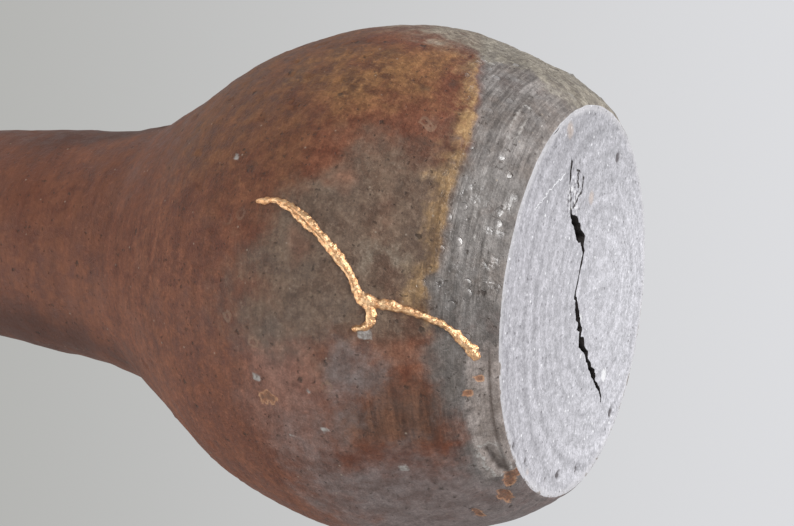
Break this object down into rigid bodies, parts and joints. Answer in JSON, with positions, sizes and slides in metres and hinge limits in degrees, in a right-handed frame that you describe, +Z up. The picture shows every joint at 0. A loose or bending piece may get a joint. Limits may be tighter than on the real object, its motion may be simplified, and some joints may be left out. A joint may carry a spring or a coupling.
{
  "type": "kintsugi vase",
  "caption": "Wheel-thrown stoneware flower vase with a round belly, long neck and flat cracked base, its wall crack mended with a raised gold seam.",
  "frame": {"origin": "middle of the flat underside", "axes": "+Z up the vase from the underside to the mouth; the gold seam faces -Y"},
  "size_m": [0.103, 0.103, 0.205],
  "materials": {
    "stoneware": "wood-fired, red-brown clay with grey and ochre natural ash, satin with glossy runs near the base",
    "gold": "gold powder on lacquer, softly burnished"
  },
  "bodies": {
    "root": {"vase_body": "stoneware", "gold_seam": "gold"}
  },
  "joints": []
}
